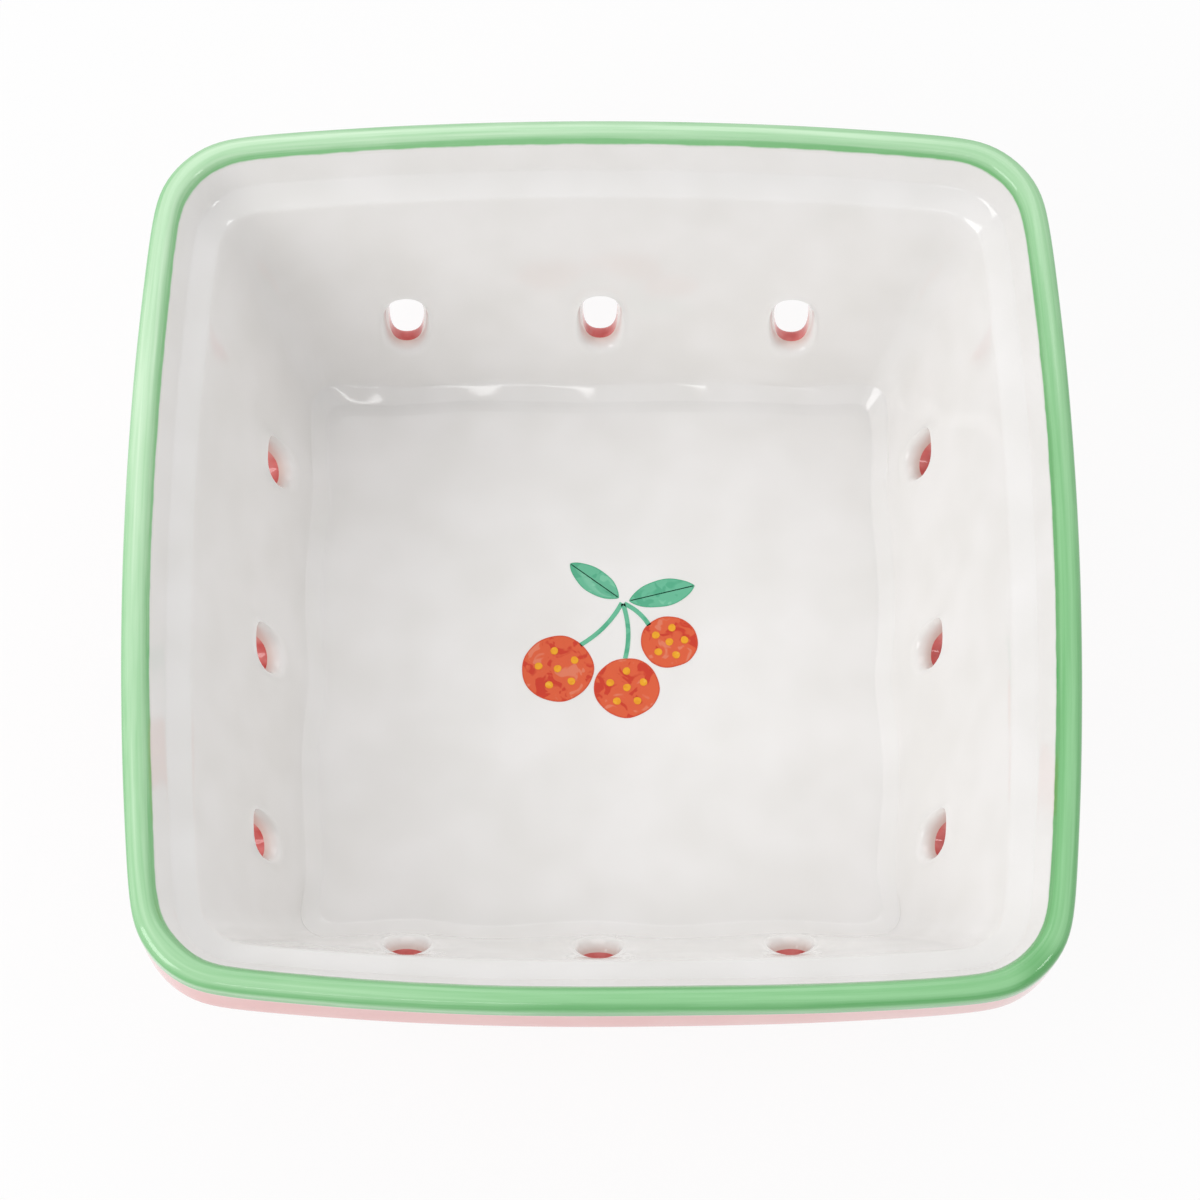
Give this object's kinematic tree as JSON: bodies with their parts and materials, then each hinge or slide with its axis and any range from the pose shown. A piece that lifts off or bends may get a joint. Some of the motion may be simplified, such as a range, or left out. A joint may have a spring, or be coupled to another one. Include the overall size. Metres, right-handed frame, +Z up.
{
  "type": "berry colander bowl",
  "caption": "Square glazed stoneware berry bowl with leaning walls, a collar with a ledge under its lip, upright drain slots in every wall and a low foot ring.",
  "frame": {"origin": "on the table, under the middle of the square bowl: bottom centre of its box", "axes": "+Z up, out of the bowl's mouth; +X to the right of the printed sprig, -Y towards the front wall, below the sprig"},
  "size_m": [0.14, 0.14, 0.054],
  "materials": {
    "bare_clay": "matte, unglazed, fine grained",
    "white_glaze": "glossy",
    "pink_glaze": "glossy",
    "green_glaze": "glossy, brushed on, slightly streaked",
    "rose_glaze": "glossy, pooled thick",
    "berry_print": "glossy, watery colour under a clear coat",
    "leaf_print": "glossy, watery colour under a clear coat",
    "pip_print": "glossy, raised dots"
  },
  "bodies": {
    "root": {"clay_body": "bare_clay", "inside_glaze": "white_glaze", "outside_glaze": "pink_glaze", "base_glaze": "pink_glaze", "rim_glaze": "green_glaze", "hole_glaze": "rose_glaze", "print_berries": "berry_print", "print_leaves": "leaf_print", "print_stalks": "leaf_print", "print_pips": "pip_print"}
  },
  "joints": []
}
